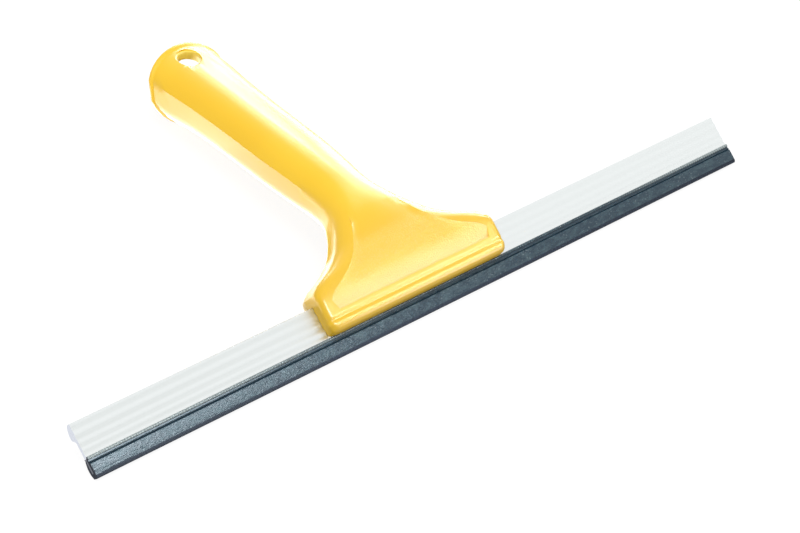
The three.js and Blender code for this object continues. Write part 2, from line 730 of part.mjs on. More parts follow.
const inBladeFrame = new THREE.Group();
const { body, clamp } = handlePieces();
inBladeFrame.add(pieceMesh("handle_body", geometryOf(body), HANDLE_PLASTIC));
inBladeFrame.add(pieceMesh("rear_clamp", geometryOf(clamp), HANDLE_PLASTIC));
inBladeFrame.add(pieceMesh("blade_profile", profile(), ALUMINIUM));
inBladeFrame.add(pieceMesh("rubber_strip", rubber(), RUBBER));
screwPlaces.forEach((place) => {
  inBladeFrame.add(pieceMesh(place.name, geometryOf(screw(place)), STEEL));
});

// Laid on the table, with the origin under the middle of the footprint
inBladeFrame.rotation.x = restTilt(inBladeFrame);
const squeegee = new THREE.Group();
squeegee.add(inBladeFrame);
const footprint = new THREE.Box3().setFromObject(squeegee, true);
const middle = footprint.getCenter(new THREE.Vector3());
inBladeFrame.position.set(-middle.x, -middle.y, -footprint.min.z);

export default squeegee;
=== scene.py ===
"""Looks of a hand window squeegee: a moulded yellow handle, an aluminium blade and a rubber strip.

Everything is in metres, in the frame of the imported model: the squeegee lies on a table with its
front face up, X runs along the blade, Y towards the grip's end and Z up. The blade's own frame
has x along the blade, y up the blade from the rubber's top and z out of the blade's front face.
"""

import json
import math

import bmesh
import bpy
from bpy.props import FloatProperty, FloatVectorProperty, PointerProperty
from mathutils import Matrix, Vector


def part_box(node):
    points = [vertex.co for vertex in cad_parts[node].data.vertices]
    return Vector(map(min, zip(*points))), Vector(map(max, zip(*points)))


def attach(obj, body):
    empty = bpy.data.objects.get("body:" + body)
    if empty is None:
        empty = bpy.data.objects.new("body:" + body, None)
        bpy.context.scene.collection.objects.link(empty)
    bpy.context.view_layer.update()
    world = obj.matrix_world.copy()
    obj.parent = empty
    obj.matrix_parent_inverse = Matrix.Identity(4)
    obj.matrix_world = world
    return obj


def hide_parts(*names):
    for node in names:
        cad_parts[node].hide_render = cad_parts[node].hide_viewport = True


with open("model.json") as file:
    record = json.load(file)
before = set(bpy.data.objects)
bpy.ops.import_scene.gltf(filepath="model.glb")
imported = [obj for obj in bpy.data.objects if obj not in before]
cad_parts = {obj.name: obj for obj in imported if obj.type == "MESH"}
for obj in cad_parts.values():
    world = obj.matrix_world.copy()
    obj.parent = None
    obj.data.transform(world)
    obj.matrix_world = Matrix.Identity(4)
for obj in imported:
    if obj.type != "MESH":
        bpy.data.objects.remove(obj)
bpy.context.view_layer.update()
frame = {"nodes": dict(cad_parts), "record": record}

bl_info = {
    "name": "Window Squeegee",
    "version": (1, 0, 0),
    "blender": (4, 5, 0),
    "location": "View3D > Sidebar > Squeegee",
    "description": "Builds the finished look of a window squeegee around its packed model",
    "category": "Add Mesh",
}

MERGE_DISTANCE = 1e-6
SHARP_ANGLE = math.radians(32)
# How far the aluminium stands up from the foot of its front face
PROFILE_HEIGHT = 0.0141
# A place on the head's sunken panel in the blade's frame
PANEL_MIDDLE = Vector((-0.010, 0.020, 0.0059))
# The panel's foot up the blade, and where its bed begins to round off towards that foot
PANEL_FOOT = 0.0093
PANEL_ROUND = 0.0175
# Where the panel's grain begins to fade up the blade, and where it ends
GRAIN_FADE = 0.026
GRAIN_END = 0.035
# How much of its upper wall's height the panel's bed rises towards that wall
PANEL_RISE = 0.8
# Where the head's painted shade begins to fade out up the blade, and where it has faded
HEAD_SHADE_FADE = 0.026
HEAD_SHADE_END = 0.050
# The hang hole's axis in the lying frame, and how far from it the painted light on its wall fades and
# ends
HOLE_PLACE = Vector((-0.010, 0.0751, 0.0))
HOLE_FADE = 0.0052
HOLE_END = 0.0056
# Over how much one finish of the rubber passes into the next, and how thick a cut end is
BORDER = 0.0002
END_BORDER = 0.0001
# How far out of the blade's front the rubber's pebbled face begins
FACE_OUT = 0.0006
# Over how much the sawn ends pass into the tongue's darker ones, below the front's foot
TONGUE_END_FADE = 0.0006
# How far from the rubber's ends its pebbles begin to turn into streaks, and where they have
STREAKS_START = 0.022
STREAKS_FULL = 0.006
# Sides of a rib, and its rings from its top down to its foot
RIB_SIDES = 10
RIB_RINGS = 4

# Features of each noise per metre along the blade, up it and out of its front
PLASTIC_CLOUD = (30, 30, 30)
PLASTIC_PITS = (1500, 1500, 1500)
PLASTIC_SKIN = (500, 500, 500)
DIE_LINES = (4, 5000, 5000)
DIE_STREAKS = (3, 900, 900)
FINE_SPECKS = (1300, 1700, 1700)
SPECK_FIELDS = (60, 200, 200)
RIB_CLOUD = (250, 700, 700)
RUBBER_CLOUD = (300, 600, 600)
RUBBER_PEBBLES = (450, 900, 900)
RUBBER_STREAKS = (120, 1700, 1700)
ZINC_SPANGLE = (900, 900, 900)

# Spans of a noise's values that a look is drawn over
MIDDLE_SPAN = (0.35, 0.65)
WIDE_SPAN = (0.3, 0.7)
PIT_SPAN = (0.45, 0.65)
RIB_DUST_SPAN = (0.4, 0.65)
DUST_SPAN = (0.4, 0.7)
SPECK_SPAN = (0.0, 0.03)

# Strength and depth of the fine bumps
SKIN_BUMP = (0.04, 0.0001)
DIE_BUMP = (0.1, 0.00001)
# How much of their colour the grain's crests (a painted sparkle highlight), the pale specks on the
# face (partly dusting, partly painted glints) and the bead (scuffing and a painted highlight) show
CREST_SHARE = 0.6
FACE_GLINT_AND_DUST_SHARE = 0.3
BEAD_WEAR_AND_HIGHLIGHT_SHARE = 0.6
# How much of the flutes' painted shade shows in their lightest and in their darkest streaks
STREAK_SHARES = (0.7, 1.0)
# How far along the blade the flutes' painted shade fades, in half lengths, and how much of it shows
# from there
FLUTE_FADE_END = 0.3
FADED_FLUTE_SHARE = 0.25
# How much rarer than set the pale specks, partly dusting and partly painted glints, are in bare
# fields, and how much less rare in dusty ones
BARE_FIELD = 0.05
DUSTY_FIELD = 0.03
# Where the bead's paleness from scuffing and a painted highlight ends at the left and begins at the
# right, in half lengths, and its amount
LEFT_WEAR_AND_HIGHLIGHT_END = 0.2
LEFT_WEAR_AND_HIGHLIGHT = 0.85
RIGHT_WEAR_AND_HIGHLIGHT_START = 0.5
RIGHT_WEAR_AND_HIGHLIGHT = 0.8
# How far below its middle the bead is paler with scuffing and a painted highlight, in widths of a rib
WEAR_AND_HIGHLIGHT_REACH = 1 / 3
# How much less and more dull than set the finishes are in places
ALUMINIUM_SPREAD = (0.05, 0.08)
RIB_SPREAD = (0.0, 0.12)
RUBBER_SPREAD = (0.04, 0.12)
CUT_ROUGHNESS = 0.7
ZINC_ROUGHNESS = (0.22, 0.4)


# The blade's own frame


def blade_turn():
    """Gives how far the blade's frame is tilted, from the direction of the head's back face."""
    back_face = Vector(frame["record"]["mounts"][0]["axis"])
    return math.atan2(back_face.y, -back_face.z)


def blade_origin():
    """Gives the foot of the aluminium's front face, half way along the blade."""
    low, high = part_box("blade_profile")
    back = Matrix.Rotation(-blade_turn(), 3, "X")
    points = [back @ vertex.co for vertex in frame["nodes"]["blade_profile"].data.vertices]
    foot = max(point.y for point in points) - PROFILE_HEIGHT
    front = max(point.z for point in points)
    return back.inverted() @ Vector(((low.x + high.x) / 2, foot, front))


def blade_place():
    """Gives the matrix that takes the blade's frame to the lying frame."""
    return Matrix.Translation(blade_origin()) @ Matrix.Rotation(blade_turn(), 4, "X")


# Meshes


def merged_copy(node_name, piece_name):
    """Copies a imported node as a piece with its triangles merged, smooth but for its sharp edges."""
    mesh = bpy.data.meshes.new(piece_name)
    shape = bmesh.new()
    shape.from_mesh(frame["nodes"][node_name].data)
    bmesh.ops.remove_doubles(shape, verts=shape.verts, dist=MERGE_DISTANCE)
    for face in shape.faces:
        face.smooth = True
        face.material_index = 0
    for edge in shape.edges:
        edge.smooth = edge.calc_face_angle(math.pi) < SHARP_ANGLE
    shape.to_mesh(mesh)
    shape.free()
    return linked_object(piece_name, mesh)


def neighbours(faces, smooth):
    """Gives the faces at the smooth edges of some faces, or at their sharp ones."""
    edges = {edge for face in faces for edge in face.edges if edge.smooth == smooth}
    return {face for edge in edges for face in edge.link_faces}


def panel_bed(first):
    """Gives the faces of the sunken panel's bed, from one of them out to its sharp edges."""
    to_blade = blade_place().inverted()
    bed = {first}
    fresh = {first}
    while fresh:
        found = neighbours(fresh, smooth=True) - bed
        fresh = {face for face in found if (to_blade @ face.calc_center_median()).y < GRAIN_END}
        bed |= fresh
    return bed


def raise_bed(walls, foot, out):
    """Raises the bed's edge at the foot of its upper walls, by a share of each wall's height."""
    heights = {}
    for vertex in foot:
        beside_it = [other for face in vertex.link_faces if face in walls for other in face.verts]
        heights[vertex] = max((other.co - vertex.co).dot(out) for other in beside_it)
    for vertex, height in heights.items():
        vertex.co += out * height * PANEL_RISE


def mark_panel(piece):
    """Marks the bed and walls of the head's sunken panel, and raises the bed to its upper walls."""
    shape = bmesh.new()
    shape.from_mesh(piece.data)
    grain_layer = shape.verts.layers.float.new("grain")
    wall_layer = shape.faces.layers.float.new("wall")
    middle = blade_place() @ PANEL_MIDDLE
    first = min(shape.faces, key=lambda face: (face.calc_center_median() - middle).length)
    out = first.normal.copy()
    bed = panel_bed(first)
    bed_vertices = {vertex for face in bed for vertex in face.verts}
    for vertex in bed_vertices:
        vertex[grain_layer] = 1.0
    rim = neighbours(bed, smooth=False) - bed
    beside = neighbours(rim, smooth=True) - bed
    walls = {face for face in rim | beside if face.normal.angle(out) > SHARP_ANGLE}
    for face in walls:
        face[wall_layer] = 1.0
    up_blade = blade_place().to_3x3() @ Vector((0, 1, 0))
    upper_walls = {face for face in walls if face.normal.dot(up_blade) < 0}
    foot = {vertex for face in upper_walls for vertex in face.verts} & bed_vertices
    raise_bed(walls, foot, out)
    shape.to_mesh(piece.data)
    shape.free()


def half_ball(size):
    """Gives the corners and faces of the upper half of a ball with these radii, its foot last."""
    corners = [Vector((0, 0, size[2]))]
    for ring in range(1, RIB_RINGS + 1):
        fall = math.pi / 2 * ring / RIB_RINGS
        for side in range(RIB_SIDES):
            turn = math.pi / 2 + math.tau * side / RIB_SIDES
            along = size[0] * math.sin(fall) * math.cos(turn)
            across = size[1] * math.sin(fall) * math.sin(turn)
            corners.append(Vector((along, across, size[2] * math.cos(fall))))
    faces = []
    for side in range(RIB_SIDES):
        beside = (side + 1) % RIB_SIDES
        faces.append((0, 1 + side, 1 + beside))
        for first in range(1, (RIB_RINGS - 1) * RIB_SIDES, RIB_SIDES):
            below = first + RIB_SIDES
            faces.append((first + side, below + side, below + beside, first + beside))
    foot = range(len(corners) - RIB_SIDES, len(corners))
    faces.append(tuple(reversed(foot)))
    return corners, faces


def bead_ribs(settings):
    """Makes the fine ribs across the rubber's top bead: one half-sunk rib, set again and again."""
    length = settings.rib_pitch * settings.rib_share
    rib, rib_faces = half_ball((length / 2, settings.rib_width / 2, settings.rib_height))
    low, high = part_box("rubber_strip")
    count = int((high.x - low.x) / settings.rib_pitch)
    to_table = blade_place()
    corners, faces = [], []
    for number in range(count):
        along = settings.rib_pitch * (number - (count - 1) / 2)
        place = Vector((along, settings.rib_middle, settings.rib_foot))
        faces += [[len(corners) + corner for corner in face] for face in rib_faces]
        corners += [to_table @ (place + corner) for corner in rib]
    mesh = bpy.data.meshes.new("bead_ribs")
    mesh.from_pydata(corners, [], faces)
    mesh.polygons.foreach_set("use_smooth", [len(face) < RIB_SIDES for face in faces])
    return linked_object("bead_ribs", mesh)


def linked_object(name, data):
    """Makes an object of a mesh, lamp or camera and adds it to the scene."""
    made = bpy.data.objects.new(name, data)
    bpy.context.scene.collection.objects.link(made)
    return made


def seat(piece, node_name, body, material):
    """Gives a piece its finish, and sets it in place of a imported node."""
    piece.data.materials.clear()
    piece.data.materials.append(material)
    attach(piece, body)
    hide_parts(node_name)


# Materials


def new_material(name):
    """Makes a material with a bare Principled shader and gives both."""
    material = bpy.data.materials.new(name)
    material.use_nodes = True
    tree = material.node_tree
    tree.nodes.clear()
    output = tree.nodes.new("ShaderNodeOutputMaterial")
    shader = tree.nodes.new("ShaderNodeBsdfPrincipled")
    tree.links.new(shader.outputs["BSDF"], output.inputs["Surface"])
    return material, shader


def add_node(material, kind, inputs=None, **settings):
    """Adds a node. Each input is a value, or the socket of another node to link."""
    tree = material.node_tree
    made = tree.nodes.new(kind)
    for name, value in settings.items():
        setattr(made, name, value)
    feed(material, made, inputs or {})
    return made


def feed(material, node, inputs):
    """Sets the inputs of a node to values or links them to sockets."""
    for name, value in inputs.items():
        if isinstance(value, bpy.types.NodeSocket):
            material.node_tree.links.new(value, node.inputs[name])
        else:
            node.inputs[name].default_value = value


def blade_coordinates(material):
    """Adds the coordinates of the blade's own frame and gives their socket."""
    to_blade = blade_place().inverted()
    coordinates = add_node(material, "ShaderNodeTexCoord")
    mapping = add_node(
        material,
        "ShaderNodeMapping",
        {
            "Vector": coordinates.outputs["Object"],
            "Rotation": to_blade.to_euler(),
            "Location": to_blade.translation,
        },
    )
    return mapping.outputs["Vector"]


def split(material, vector):
    """Gives the sockets of a vector along the blade, up the blade and out of its front."""
    parts = add_node(material, "ShaderNodeSeparateXYZ", {"Vector": vector})
    return parts.outputs["X"], parts.outputs["Y"], parts.outputs["Z"]


def math_node(material, operation, first, second=0.0):
    """Adds a Math node and gives its socket."""
    made = add_node(material, "ShaderNodeMath", {0: first, 1: second}, operation=operation)
    return made.outputs[0]


def product(material, *values):
    """Multiplies values and gives the socket."""
    result = values[0]
    for value in values[1:]:
        result = math_node(material, "MULTIPLY", result, value)
    return result


def greatest(material, first, second):
    """Gives the socket of the greater of two values."""
    return math_node(material, "MAXIMUM", first, second)


def attribute(material, name):
    """Gives the socket of a piece's own attribute."""
    return add_node(material, "ShaderNodeAttribute", attribute_name=name).outputs["Fac"]


def noise(material, vector, scales, detail=3.0, roughness=0.5):
    """Adds a noise whose features are set per metre along each axis, and gives its socket."""
    stretched = add_node(material, "ShaderNodeMapping", {"Vector": vector, "Scale": scales})
    made = add_node(
        material,
        "ShaderNodeTexNoise",
        {
            "Vector": stretched.outputs["Vector"],
            "Scale": 1.0,
            "Detail": detail,
            "Roughness": roughness,
        },
    )
    return made.outputs["Fac"]


def remap(material, value, low, high, to_low, to_high, interpolation="SMOOTHSTEP"):
    """Maps a value from one range to another, held at its ends, and gives the socket."""
    made = add_node(
        material,
        "ShaderNodeMapRange",
        {"Value": value, "From Min": low, "From Max": high, "To Min": to_low, "To Max": to_high},
        interpolation_type=interpolation,
    )
    return made.outputs["Result"]


def opaque(colour):
    """Gives a colour setting with its alpha, or a socket as it is."""
    return colour if isinstance(colour, bpy.types.NodeSocket) else (*colour, 1)


def blend_colours(material, factor, first, second):
    """Mixes two colours, each a setting or a socket, by a factor and gives the socket."""
    made = add_node(material, "ShaderNodeMix", data_type="RGBA")
    feed(material, made, {0: factor, 6: opaque(first), 7: opaque(second)})
    return made.outputs[2]


def bump(material, height, strength, distance, normal=None):
    """Adds a bump of a height and gives its socket."""
    inputs = {"Height": height, "Strength": strength, "Distance": distance}
    if normal is not None:
        inputs["Normal"] = normal
    return add_node(material, "ShaderNodeBump", inputs).outputs["Normal"]


def hole_mask(material):
    """Gives how much of a spot is the hang hole's wall."""
    place = add_node(material, "ShaderNodeTexCoord").outputs["Object"]
    onto_table = {0: place, 1: (1, 1, 0)}
    flat = add_node(material, "ShaderNodeVectorMath", onto_table, operation="MULTIPLY").outputs[0]
    to_axis = {0: flat, 1: HOLE_PLACE}
    away = add_node(material, "ShaderNodeVectorMath", to_axis, operation="DISTANCE")
    return remap(material, away.outputs["Value"], HOLE_FADE, HOLE_END, 1.0, 0.0)


def end_mask(material, aside, end):
    """Gives how much of a spot is on a cut end, from how far aside it is of the middle."""
    return remap(material, aside, end - END_BORDER, end - END_BORDER / 2, 0.0, 1.0)


def varied(material, value, level, spread):
    """Varies a level with a noise, from so much below it to so much above it."""
    return remap(material, value, *WIDE_SPAN, level - spread[0], level + spread[1])


def handle_plastic(settings):
    """Gloss yellow plastic with a fine grain on the sunken panel. Its colour holds painted light:
    painted shade on the head, a painted highlight at the panel's foot, a painted sparkle highlight on
    the grain's crests, and painted light on the panel's walls and the hang hole's wall.
    """
    material, shader = new_material("handle_plastic")
    place = blade_coordinates(material)
    up = split(material, place)[1]
    cloud = noise(material, place, PLASTIC_CLOUD, detail=2)
    dense = remap(material, cloud, *MIDDLE_SPAN, 0.0, 1.0)
    moulded = blend_colours(material, dense, settings.colour, settings.deep_colour)
    # Painted shade: the head's colour is darker, fading out up the blade
    shade_painted = remap(material, up, HEAD_SHADE_FADE, HEAD_SHADE_END, 1.0, 0.0)
    plain = blend_colours(material, shade_painted, moulded, settings.head_shade_colour)
    bed = attribute(material, "grain")
    fall = remap(material, up, PANEL_FOOT, PANEL_ROUND, 1.0, 0.0, interpolation="LINEAR")
    # Painted highlight: the panel's foot is paler, fading out up to where its bed rounds off
    highlit = blend_colours(material, product(material, bed, fall), plain, settings.foot_highlight_colour)
    grain = product(material, bed, remap(material, up, GRAIN_FADE, GRAIN_END, 1.0, 0.0))
    pits = noise(material, place, PLASTIC_PITS, roughness=0.6)
    # Painted sparkle highlight: the grain's crests are paler
    sparkle = product(material, grain, remap(material, pits, *PIT_SPAN, 0.0, CREST_SHARE))
    grained = blend_colours(material, sparkle, highlit, settings.sparkle_colour)
    # Painted light: the panel's walls and the hang hole's wall take a paler colour
    wall_light = greatest(material, attribute(material, "wall"), hole_mask(material))
    colour = blend_colours(material, wall_light, grained, settings.wall_light_colour)
    skin = bump(material, noise(material, place, PLASTIC_SKIN, detail=2), *SKIN_BUMP)
    sunk = product(material, fall, fall, -1.0)
    rounded = bump(material, sunk, 1.0, product(material, bed, settings.round_depth), skin)
    normal = bump(material, pits, 1.0, product(material, grain, settings.grain_depth), rounded)
    rough = remap(material, grain, 0.0, 1.0, settings.roughness, settings.grain_roughness)
    feed(material, shader, {"Base Color": colour, "Roughness": rough, "Normal": normal})
    return material


def aluminium(settings):
    """Satin extruded aluminium with die lines along the blade, with painted shade in its flutes that
    fades along the blade from its left end, and painted shade on its sawn ends.
    """
    material, shader = new_material("blade_aluminium")
    place = blade_coordinates(material)
    along, up, out = split(material, place)
    low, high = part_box("blade_profile")
    end = (high.x - low.x) / 2
    # Painted shade: the flutes are darker with their depth, in streaks, most at the blade's left end
    # and fading along it
    hollow = remap(material, out, -settings.flute_depth, 0.0, 1.0, 0.0)
    broad = noise(material, place, DIE_STREAKS, detail=2)
    streak = remap(material, broad, *MIDDLE_SPAN, *STREAK_SHARES)
    thinning = remap(material, along, -end, FLUTE_FADE_END * end, 1.0, FADED_FLUTE_SHARE)
    dull = product(material, hollow, streak, thinning)
    fluted = blend_colours(material, dull, settings.colour, settings.dull_and_shade_colour)
    # Below the front's foot the tongue's ends take a darker colour
    tongue = remap(material, up, -TONGUE_END_FADE, 0.0, 1.0, 0.0)
    sawn = blend_colours(material, tongue, settings.end_shade_colour, settings.tongue_end_colour)
    # Painted shade: the sawn ends take a darker, bluer colour
    cut = end_mask(material, math_node(material, "ABSOLUTE", along), end)
    colour = blend_colours(material, cut, fluted, sawn)
    lines = noise(material, place, DIE_LINES)
    rough = varied(material, lines, settings.roughness, ALUMINIUM_SPREAD)
    normal = bump(material, lines, *DIE_BUMP)
    finish = {"Base Color": colour, "Metallic": 1.0, "Roughness": rough, "Normal": normal}
    feed(material, shader, finish)
    return material


def specks(material, place, settings):
    """Gives how much of a spot is a pale speck, partly dusting and partly a painted glint: few, small
    and scattered unevenly.
    """
    fine = noise(material, place, FINE_SPECKS, detail=1)
    broad = noise(material, place, SPECK_FIELDS, detail=2)
    bare, dusty = settings.speck_level + BARE_FIELD, settings.speck_level - DUSTY_FIELD
    threshold = remap(material, broad, *MIDDLE_SPAN, bare, dusty)
    over = math_node(material, "SUBTRACT", fine, threshold)
    return remap(material, over, *SPECK_SPAN, 0.0, 1.0)


def wear_and_highlight_share(material, along):
    """Gives how pale the rubber's bead is with scuffing and a painted highlight: most at its left
    end, less at its right.
    """
    low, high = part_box("rubber_strip")
    at_left = remap(material, along, low.x, LEFT_WEAR_AND_HIGHLIGHT_END * high.x, LEFT_WEAR_AND_HIGHLIGHT, 0.0)
    at_right = remap(material, along, RIGHT_WEAR_AND_HIGHLIGHT_START * high.x, high.x, 0.0, RIGHT_WEAR_AND_HIGHLIGHT)
    return greatest(material, at_right, at_left)


def rib_rubber(settings):
    """The rubber of the bead's ribs, paler towards the ends with scuffing and a painted highlight,
    with dusty spots on some of them and pale specks that are partly dusting and partly painted
    glints.
    """
    material, shader = new_material("rib_rubber")
    place = blade_coordinates(material)
    along = split(material, place)[0]
    cloud = noise(material, place, RIB_CLOUD)
    dusty = remap(material, cloud, *RIB_DUST_SPAN, 0.0, 1.0)
    plain = blend_colours(material, dusty, settings.rib_colour, settings.dusty_colour)
    # Scuffing and a painted highlight: the ribs are paler, most at the left end
    worn_and_highlit = blend_colours(material, wear_and_highlight_share(material, along), plain, settings.worn_and_highlit_colour)
    # Pale specks: partly dusting, partly painted glints
    colour = blend_colours(material, specks(material, place, settings), worn_and_highlit, settings.glint_and_dust_colour)
    rough = varied(material, cloud, settings.roughness, RIB_SPREAD)
    feed(material, shader, {"Base Color": colour, "Roughness": rough})
    return material


def rubber(settings):
    """Dark slate rubber with a pebbled skin on its face and bead, and a smooth cut bevel. Painted
    shade makes the bevel and the cut ends near black; the bead is paler with scuffing and a painted
    highlight, and the face has pale specks that are partly dusting and partly painted glints.
    """
    material, shader = new_material("blade_rubber")
    place = blade_coordinates(material)
    along, up, out = split(material, place)
    aside = math_node(material, "ABSOLUTE", along)
    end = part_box("rubber_strip")[1].x
    bevel_foot, bevel_top = settings.bevel_top - BORDER, settings.bevel_top
    above_bevel = remap(material, up, bevel_foot, bevel_top, 0.0, 1.0)
    on_face = remap(material, out, FACE_OUT, FACE_OUT + BORDER, 0.0, 1.0)
    skin = product(material, above_bevel, on_face)
    cloud = noise(material, place, RUBBER_CLOUD, detail=4, roughness=0.6)
    dusty = product(material, skin, remap(material, cloud, *DUST_SPAN, 0.0, 1.0))
    plain = blend_colours(material, dusty, settings.colour, settings.dusty_colour)
    # Pale specks on the face: partly dusting, partly painted glints
    glint_and_dust = product(material, skin, specks(material, place, settings), FACE_GLINT_AND_DUST_SHARE)
    powdered = blend_colours(material, glint_and_dust, plain, settings.glint_and_dust_colour)
    # Scuffing and a painted highlight: the bead is paler, most at its left end
    bead_foot = settings.rib_middle - settings.rib_width * WEAR_AND_HIGHLIGHT_REACH
    on_bead = remap(material, up, bead_foot - END_BORDER, bead_foot, 0.0, BEAD_WEAR_AND_HIGHLIGHT_SHARE)
    wear_and_highlight = product(material, on_bead, wear_and_highlight_share(material, along))
    worn_and_highlit = blend_colours(material, wear_and_highlight, powdered, settings.worn_and_highlit_colour)
    # Painted shade: the bevel and the cut ends are near black
    on_bevel = remap(material, up, bevel_foot, bevel_top, 1.0, 0.0)
    cut = greatest(material, end_mask(material, aside, end), on_bevel)
    colour = blend_colours(material, cut, worn_and_highlit, settings.end_shade_colour)
    at_end = remap(material, aside, end - STREAKS_START, end - STREAKS_FULL, 0.0, 1.0)
    pebble = noise(material, place, RUBBER_PEBBLES, detail=4, roughness=0.65)
    streak = noise(material, place, RUBBER_STREAKS, detail=2)
    blend = {0: at_end, 2: pebble, 3: streak}
    height = add_node(material, "ShaderNodeMix", blend, data_type="FLOAT").outputs[0]
    normal = bump(material, height, 1.0, product(material, skin, settings.pebble_depth))
    pebbled = varied(material, cloud, settings.roughness, RUBBER_SPREAD)
    rough = remap(material, cut, 0.0, 1.0, pebbled, CUT_ROUGHNESS)
    feed(material, shader, {"Base Color": colour, "Roughness": rough, "Normal": normal})
    return material


def zinc(settings):
    """Zinc plated steel with a faint spangle."""
    material, shader = new_material("screw_steel")
    place = add_node(material, "ShaderNodeTexCoord").outputs["Object"]
    spangle = noise(material, place, ZINC_SPANGLE, detail=2)
    dull = remap(material, spangle, *MIDDLE_SPAN, 0.0, 1.0)
    colour = blend_colours(material, dull, settings.colour, settings.dull_and_shade_colour)
    rough = remap(material, spangle, *WIDE_SPAN, *ZINC_ROUGHNESS)
    feed(material, shader, {"Base Color": colour, "Metallic": 1.0, "Roughness": rough})
    return material


# Settings


def colour_setting(name, description, default):
    """Makes a colour setting, in linear shares."""
    return FloatVectorProperty(
        name=name, description=description, default=default, subtype="COLOR", size=3, min=0, max=1
    )


def share_setting(name, description, default):
    """Makes a setting that is a share of one."""
    return FloatProperty(
        name=name, description=description, default=default, subtype="FACTOR", min=0, max=1
    )


def length_setting(name, description, default):
    """Makes a setting that is a length."""
    return FloatProperty(
        name=name, description=description, default=default, unit="LENGTH", precision=5
    )


class SqueegeeHandleSettings(bpy.types.PropertyGroup):
    """The handle's plastic."""

    colour: colour_setting("Colour", "Colour of the moulded plastic", (0.97, 0.60, 0.018))
    deep_colour: colour_setting(
        "Deep colour", "Colour where the pigment is denser", (0.95, 0.57, 0.012)
    )
    roughness: share_setting("Roughness", "How dull the plastic is", 0.3)
    grain_roughness: share_setting(
        "Grain roughness", "How dull the grain of the sunken panel is", 0.4
    )
    grain_depth: length_setting("Grain depth", "Depth of the grain on the sunken panel", 0.00016)
    round_depth: length_setting(
        "Rounding", "How far the panel falls off towards its lower edge", 0.0009
    )
    # Painted sparkle highlight on the grain's crests
    sparkle_colour: colour_setting("Pale colour", "Colour of the grain's crests", (0.92, 0.58, 0.08))
    # Painted shade on the head
    head_shade_colour: colour_setting(
        "Thick colour", "Colour of the head's thick walls", (0.86, 0.525, 0.016)
    )
    # Painted highlight at the panel's foot
    foot_highlight_colour: colour_setting(
        "Rubbed colour", "Colour of the panel's rubbed foot", (0.86, 0.53, 0.12)
    )
    # Painted light on the panel's walls and the hang hole's wall
    wall_light_colour: colour_setting(
        "Thin colour", "Colour where thin edges let light through", (1.0, 0.78, 0.12)
    )


class SqueegeeBladeSettings(bpy.types.PropertyGroup):
    """The aluminium of the blade."""

    colour: colour_setting("Colour", "Colour of the aluminium", (0.865, 0.90, 0.895))
    # Painted shade in the flutes
    dull_and_shade_colour: colour_setting(
        "Dull colour", "Colour of the aluminium in the flutes", (0.775, 0.81, 0.80)
    )
    # Painted shade on the sawn ends
    end_shade_colour: colour_setting("Cut colour", "Colour of the sawn ends", (0.70, 0.73, 0.80))
    # The tongue's ends within the rubber, darker than the sawn ends
    tongue_end_colour: colour_setting(
        "Stained colour", "Colour of the tongue's ends in the rubber", (0.16, 0.17, 0.20)
    )
    roughness: share_setting("Roughness", "How satin the aluminium is", 0.4)
    flute_depth: length_setting("Flute depth", "Depth of the flutes along the front", 0.00035)


class SqueegeeRubberSettings(bpy.types.PropertyGroup):
    """The rubber strip and the ribs across its top bead."""

    colour: colour_setting("Colour", "Colour of the rubber", (0.017, 0.043, 0.066))
    dusty_colour: colour_setting(
        "Dusty colour", "Colour of the rubber's dusty spots", (0.045, 0.085, 0.105)
    )
    rib_colour: colour_setting(
        "Rib colour", "Colour of the ribs across the bead", (0.012, 0.028, 0.036)
    )
    # Scuffing and a painted highlight on the bead and its ribs
    worn_and_highlit_colour: colour_setting(
        "Worn colour", "Colour of the bead and its ribs where worn", (0.46, 0.52, 0.51)
    )
    # Painted shade on the bevel and the cut ends
    end_shade_colour: colour_setting(
        "Cut colour", "Colour of the bevel and the ends", (0.001, 0.007, 0.021)
    )
    # Pale specks: partly dusting, partly painted glints
    glint_and_dust_colour: colour_setting("Speck colour", "Colour of the dust specks", (0.42, 0.50, 0.52))
    speck_level: share_setting("Speck level", "How rare the dust specks are", 0.68)
    roughness: share_setting("Roughness", "How dull the rubber is", 0.26)
    pebble_depth: length_setting("Pebble depth", "Depth of the pebbled skin", 0.00026)
    bevel_top: length_setting("Bevel top", "Where the cut bevel begins, up the blade", -0.0068)
    rib_pitch: length_setting("Rib pitch", "Distance from rib to rib along the bead", 0.0013)
    rib_share: share_setting("Rib share", "How much of the pitch a rib takes", 0.9)
    rib_width: length_setting("Rib width", "Width of a rib across the bead", 0.0014)
    rib_height: length_setting("Rib height", "Height of a rib over the bead's foot", 0.00065)
    rib_middle: length_setting("Rib middle", "Place of the bead's middle, up the blade", -0.00015)
    rib_foot: length_setting("Rib foot", "Place of the bead's foot, out of the front", 0.00035)


class SqueegeeScrewSettings(bpy.types.PropertyGroup):
    """The screws."""

    colour: colour_setting("Colour", "Colour of the plating", (0.62, 0.63, 0.65))
    dull_and_shade_colour: colour_setting(
        "Dull colour", "Colour of the plating's dull spots", (0.5, 0.51, 0.52)
    )


# Operators


class SQUEEGEE_OT_handle(bpy.types.Operator):
    """Add the moulded handle and its rear clamp"""

    bl_idname = "squeegee.handle"
    bl_label = "Handle"

    def execute(self, context):
        material = handle_plastic(context.scene.squeegee_handle)
        for node_name in ("handle_body", "rear_clamp"):
            piece = merged_copy(node_name, f"{node_name}_moulding")
            seat(piece, node_name, "handle", material)
        mark_panel(bpy.data.objects["handle_body_moulding"])
        return {"FINISHED"}


class SQUEEGEE_OT_blade(bpy.types.Operator):
    """Add the fluted aluminium blade"""

    bl_idname = "squeegee.blade"
    bl_label = "Blade"

    def execute(self, context):
        material = aluminium(context.scene.squeegee_blade)
        piece = merged_copy("blade_profile", "blade_extrusion")
        seat(piece, "blade_profile", "blade", material)
        return {"FINISHED"}


